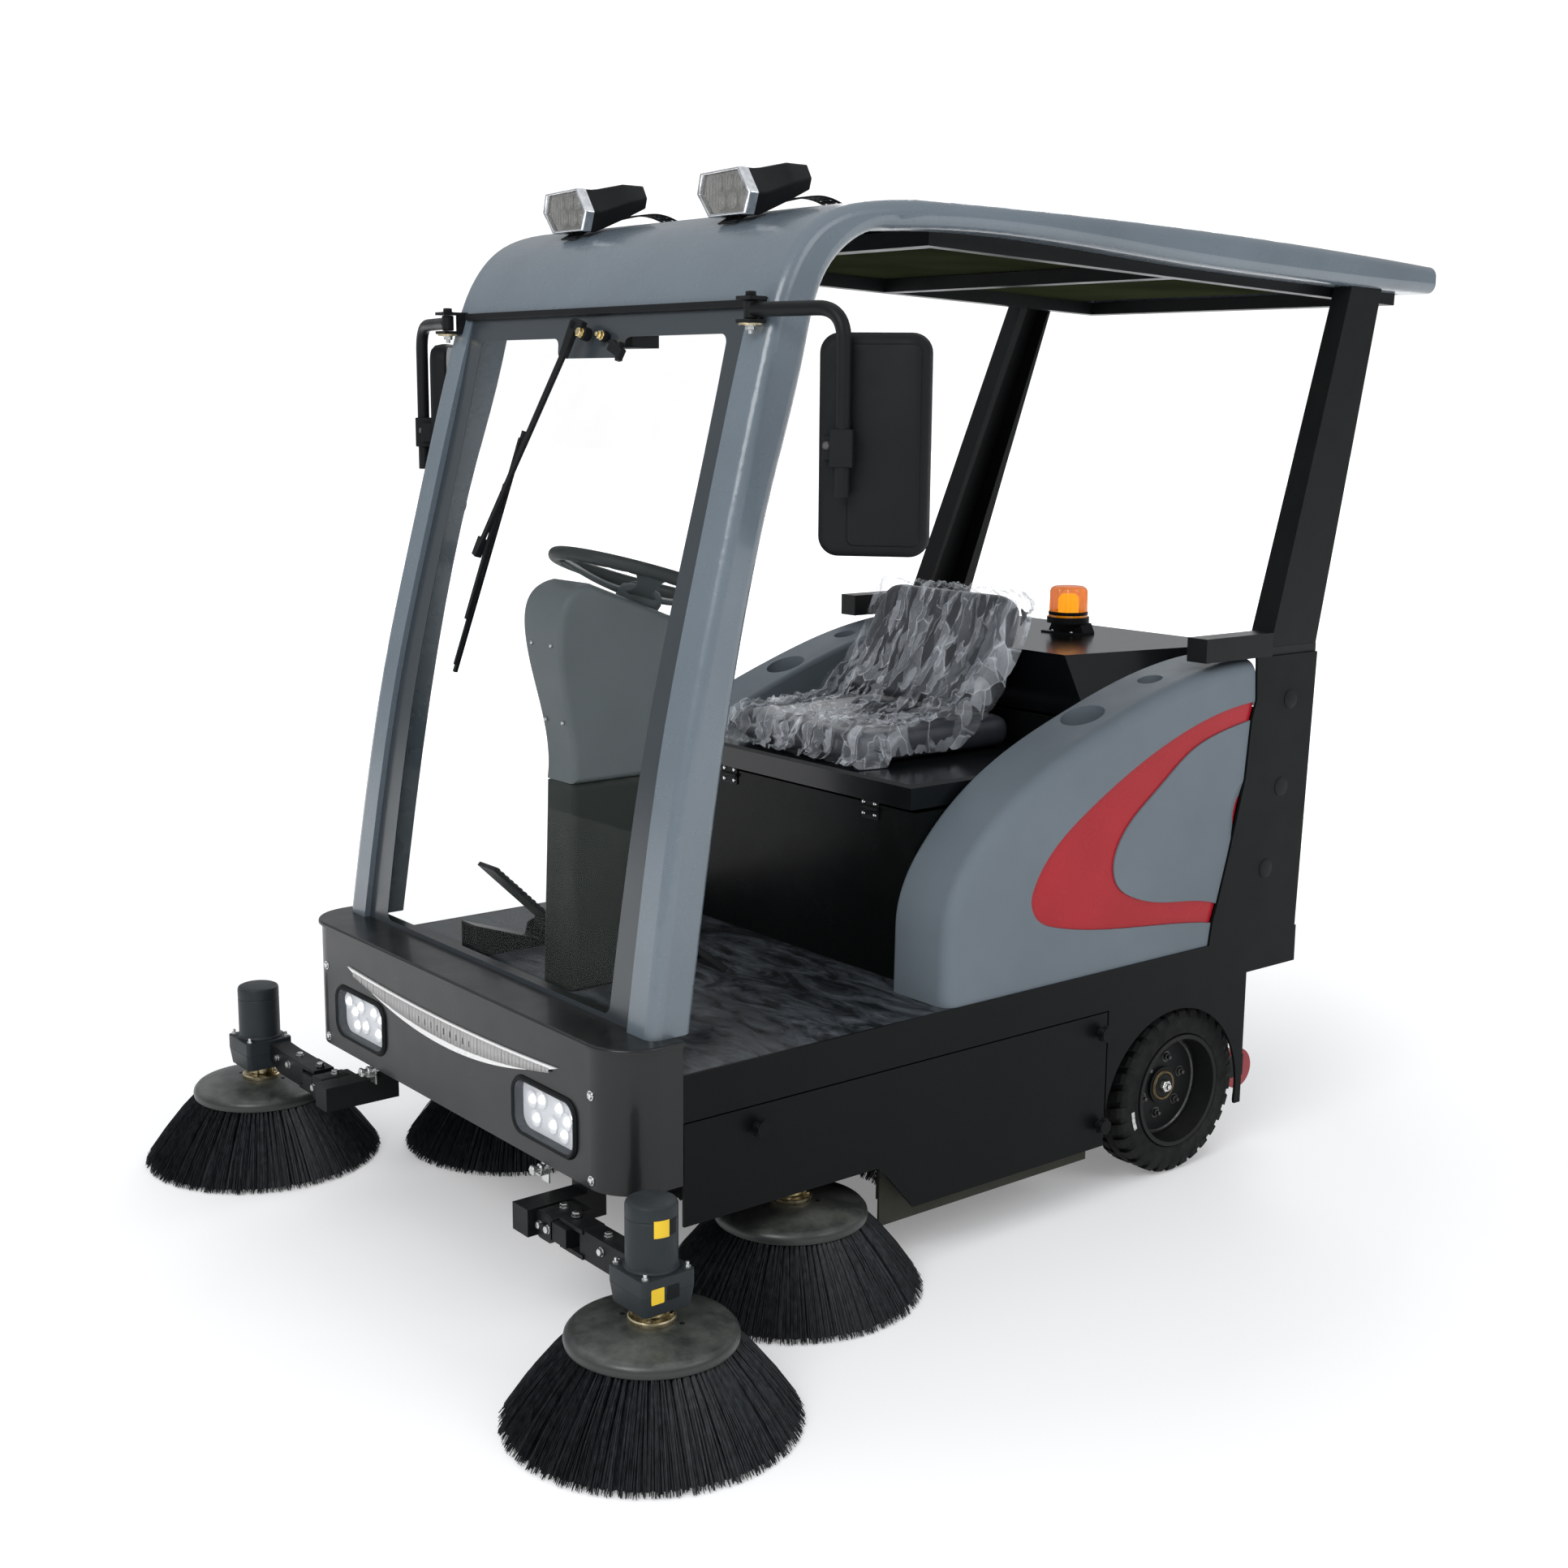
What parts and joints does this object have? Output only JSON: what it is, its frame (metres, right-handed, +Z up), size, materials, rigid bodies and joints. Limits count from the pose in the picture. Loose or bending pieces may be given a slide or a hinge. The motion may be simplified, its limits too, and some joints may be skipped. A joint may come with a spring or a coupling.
{
  "type": "ride on sweeper",
  "caption": "Ride-on floor sweeper with a canopy and windscreen, side brushes on folding arms, a main roller brush, a rear dust bin and a driver's seat.",
  "frame": {"origin": "middle of the overall box, on the floor", "axes": "+Z up, -Y towards the front, +X towards the machine's left side"},
  "size_m": [1.995, 2.5409, 2.0626],
  "materials": {
    "black_steel": "satin powder coat",
    "deck_steel": "scuffed black paint with dust",
    "flap_rubber": "dusty rubber",
    "clear_lens": "clear polycarbonate over a silver reflector",
    "silver_trim": "satin silver",
    "grey_moulding": "blue-grey gel coat",
    "cab_glass": "clear laminated glass",
    "dark_band": "dark printed band",
    "liner_panel": "translucent yellow-green sheet",
    "fender_plastic": "rotomoulded plastic with a red stripe let in",
    "gloss_black_steel": "gloss black paint",
    "black_plastic": "fine-grained black plastic",
    "motor_cast": "dark grey painted casting",
    "lamp_plastic": "black housing with a bright ring",
    "grip_plastic": "soft grey plastic",
    "tyre_rubber": "solid rubber",
    "rim_steel": "dusty black paint",
    "bristle": "black polypropylene bristles",
    "amber_lens": "amber polycarbonate",
    "seat_vinyl": "dark vinyl under clear film",
    "red_wheel": "red polyurethane"
  },
  "bodies": {
    "chassis": {"chassis_frame": "black_steel", "deck_plate": "deck_steel", "side_skirts": "black_steel", "dust_flaps": "flap_rubber", "front_bumper": "black_steel", "headlight_lenses": "clear_lens", "bumper_trim": "silver_trim", "canopy_shell": "grey_moulding", "windshield_glass": "cab_glass", "windshield_border": "dark_band", "canopy_subframe": "black_steel", "roof_liner": "liner_panel", "rear_pillars": "black_steel", "rear_body": "black_steel", "fenders": "fender_plastic", "seat_box": "gloss_black_steel", "battery_pack": "black_plastic", "column_cover": "grey_moulding", "column_base": "black_plastic", "mid_gear_motors": "motor_cast", "mirror_brackets": "black_steel", "lamp_brackets": "black_steel", "roof_lamps": "lamp_plastic", "wiper_motor": "black_plastic", "pedal_bases": "black_steel"},
    "steering": {"steering_wheel": "grip_plastic"},
    "fork": {"front_fork": "black_steel"},
    "front_wheel": {"front_tyre": "tyre_rubber", "front_rim": "rim_steel"},
    "roller": {"roller_brush": "bristle"},
    "bin": {"dust_bin": "black_steel"},
    "hood": {"rear_hood": "gloss_black_steel", "beacon_base": "black_plastic", "beacon_dome": "amber_lens"},
    "seat": {"seat_lid": "gloss_black_steel", "seat_cushion": "seat_vinyl", "seat_back": "seat_vinyl"},
    "accelerator": {"accelerator_pedal": "black_steel"},
    "brake": {"brake_pedal": "black_steel"},
    "wiper": {"wiper_arm": "black_steel"},
    "rear_wheel_left": {"rear_tyre_left": "tyre_rubber", "rear_rim_left": "rim_steel"},
    "lift_left": {"lift_arm_left": "black_steel"},
    "swing_left": {"swing_arm_left": "black_steel", "front_gear_motor_left": "motor_cast"},
    "front_brush_left": {"front_brush_left": "bristle"},
    "mid_brush_left": {"mid_brush_left": "bristle"},
    "caster_left": {"caster_wheel_left": "red_wheel"},
    "mirror_left": {"mirror_left": "black_plastic"},
    "panel_left": {"side_panel_left": "black_steel"},
    "rear_wheel_right": {"rear_tyre_right": "tyre_rubber", "rear_rim_right": "rim_steel"},
    "lift_right": {"lift_arm_right": "black_steel"},
    "swing_right": {"swing_arm_right": "black_steel", "front_gear_motor_right": "motor_cast"},
    "front_brush_right": {"front_brush_right": "bristle"},
    "mid_brush_right": {"mid_brush_right": "bristle"},
    "caster_right": {"caster_wheel_right": "red_wheel"},
    "mirror_right": {"mirror_right": "black_plastic"},
    "panel_right": {"side_panel_right": "black_steel"}
  },
  "joints": [
    {"name": "front_fork_steer", "type": "hinge", "parent": "chassis", "child": "fork", "pos_m": [0, -0.44, 0.45], "axis": [0, 0, 1], "range_deg": [-60, 60]},
    {"name": "steering_wheel_turn", "type": "hinge", "parent": "chassis", "child": "steering", "pos_m": [0, -0.513, 1.293], "axis": [0, 0.309, 0.9511], "range_deg": [-200, 200]},
    {"name": "front_wheel_spin", "type": "hinge", "parent": "fork", "child": "front_wheel", "pos_m": [0, -0.44, 0.184], "axis": [1, 0, 0], "continuous": true},
    {"name": "roller_spin", "type": "hinge", "parent": "chassis", "child": "roller", "pos_m": [0, -0.04, 0.15], "axis": [1, 0, 0], "continuous": true},
    {"name": "bin_slide", "type": "slide", "parent": "chassis", "child": "bin", "axis": [0, 1, 0], "range_m": [0, 0.6]},
    {"name": "hood_hinge", "type": "hinge", "parent": "chassis", "child": "hood", "pos_m": [0, 0.86, 0.977], "axis": [-1, 0, 0], "range_deg": [0, 60]},
    {"name": "seat_lid_hinge", "type": "hinge", "parent": "chassis", "child": "seat", "pos_m": [0, -0.172, 0.851], "axis": [1, 0, 0], "range_deg": [0, 50]},
    {"name": "accelerator_press", "type": "hinge", "parent": "chassis", "child": "accelerator", "pos_m": [-0.3, -0.57, 0.541], "axis": [1, 0, 0], "range_deg": [0, 20], "stiffness_Nm_per_rad": 8, "springref_deg": -17.19},
    {"name": "brake_press", "type": "hinge", "parent": "chassis", "child": "brake", "pos_m": [0.3, -0.685, 0.529], "axis": [-1, 0, 0], "range_deg": [0, 15], "stiffness_Nm_per_rad": 20, "springref_deg": -17.19},
    {"name": "wiper_sweep", "type": "hinge", "parent": "chassis", "child": "wiper", "pos_m": [-0.006, -0.626, 1.753], "axis": [0, -0.97, 0.243], "range_deg": [0, 44]},
    {"name": "rear_wheel_spin_left", "type": "hinge", "parent": "chassis", "child": "rear_wheel_left", "pos_m": [0.508, 0.491, 0.184], "axis": [1, 0, 0], "continuous": true},
    {"name": "brush_lift_left", "type": "hinge", "parent": "chassis", "child": "lift_left", "pos_m": [0.44, -0.998, 0.233], "axis": [0, -1, 0], "range_deg": [0, 12]},
    {"name": "brush_swing_left", "type": "hinge", "parent": "lift_left", "child": "swing_left", "pos_m": [0.492, -0.998, 0.233], "axis": [0, 0, -1], "range_deg": [0, 40], "stiffness_Nm_per_rad": 20, "springref_deg": -11.46},
    {"name": "front_brush_spin_left", "type": "hinge", "parent": "swing_left", "child": "front_brush_left", "pos_m": [0.745, -1.018, 0.19], "axis": [0, 0, 1], "continuous": true},
    {"name": "mid_brush_spin_left", "type": "hinge", "parent": "chassis", "child": "mid_brush_left", "pos_m": [0.49, -0.525, 0.19], "axis": [0, 0, 1], "continuous": true},
    {"name": "caster_spin_left", "type": "hinge", "parent": "bin", "child": "caster_left", "pos_m": [0.467, 0.79, 0.15], "axis": [1, 0, 0], "continuous": true},
    {"name": "mirror_fold_left", "type": "hinge", "parent": "chassis", "child": "mirror_left", "pos_m": [0.512, -0.647, 1.787], "axis": [0, 0, 1], "range_deg": [-45, 22]},
    {"name": "panel_pull_left", "type": "slide", "parent": "chassis", "child": "panel_left", "axis": [1, 0, 0], "range_m": [0, 0.15]},
    {"name": "rear_wheel_spin_right", "type": "hinge", "parent": "chassis", "child": "rear_wheel_right", "pos_m": [-0.508, 0.491, 0.184], "axis": [1, 0, 0], "continuous": true},
    {"name": "brush_lift_right", "type": "hinge", "parent": "chassis", "child": "lift_right", "pos_m": [-0.44, -0.998, 0.233], "axis": [0, 1, 0], "range_deg": [0, 12]},
    {"name": "brush_swing_right", "type": "hinge", "parent": "lift_right", "child": "swing_right", "pos_m": [-0.492, -0.998, 0.233], "axis": [0, 0, 1], "range_deg": [0, 40], "stiffness_Nm_per_rad": 20, "springref_deg": -11.46},
    {"name": "front_brush_spin_right", "type": "hinge", "parent": "swing_right", "child": "front_brush_right", "pos_m": [-0.745, -1.018, 0.19], "axis": [0, 0, 1], "continuous": true},
    {"name": "mid_brush_spin_right", "type": "hinge", "parent": "chassis", "child": "mid_brush_right", "pos_m": [-0.49, -0.525, 0.19], "axis": [0, 0, 1], "continuous": true},
    {"name": "caster_spin_right", "type": "hinge", "parent": "bin", "child": "caster_right", "pos_m": [-0.467, 0.79, 0.15], "axis": [1, 0, 0], "continuous": true},
    {"name": "mirror_fold_right", "type": "hinge", "parent": "chassis", "child": "mirror_right", "pos_m": [-0.512, -0.647, 1.787], "axis": [0, 0, -1], "range_deg": [-45, 22]},
    {"name": "panel_pull_right", "type": "slide", "parent": "chassis", "child": "panel_right", "axis": [-1, 0, 0], "range_m": [0, 0.15]}
  ],
  "couplings": [
    {"joint": "steering_wheel_turn", "follows": "front_fork_steer", "ratio": 3.33}
  ]
}
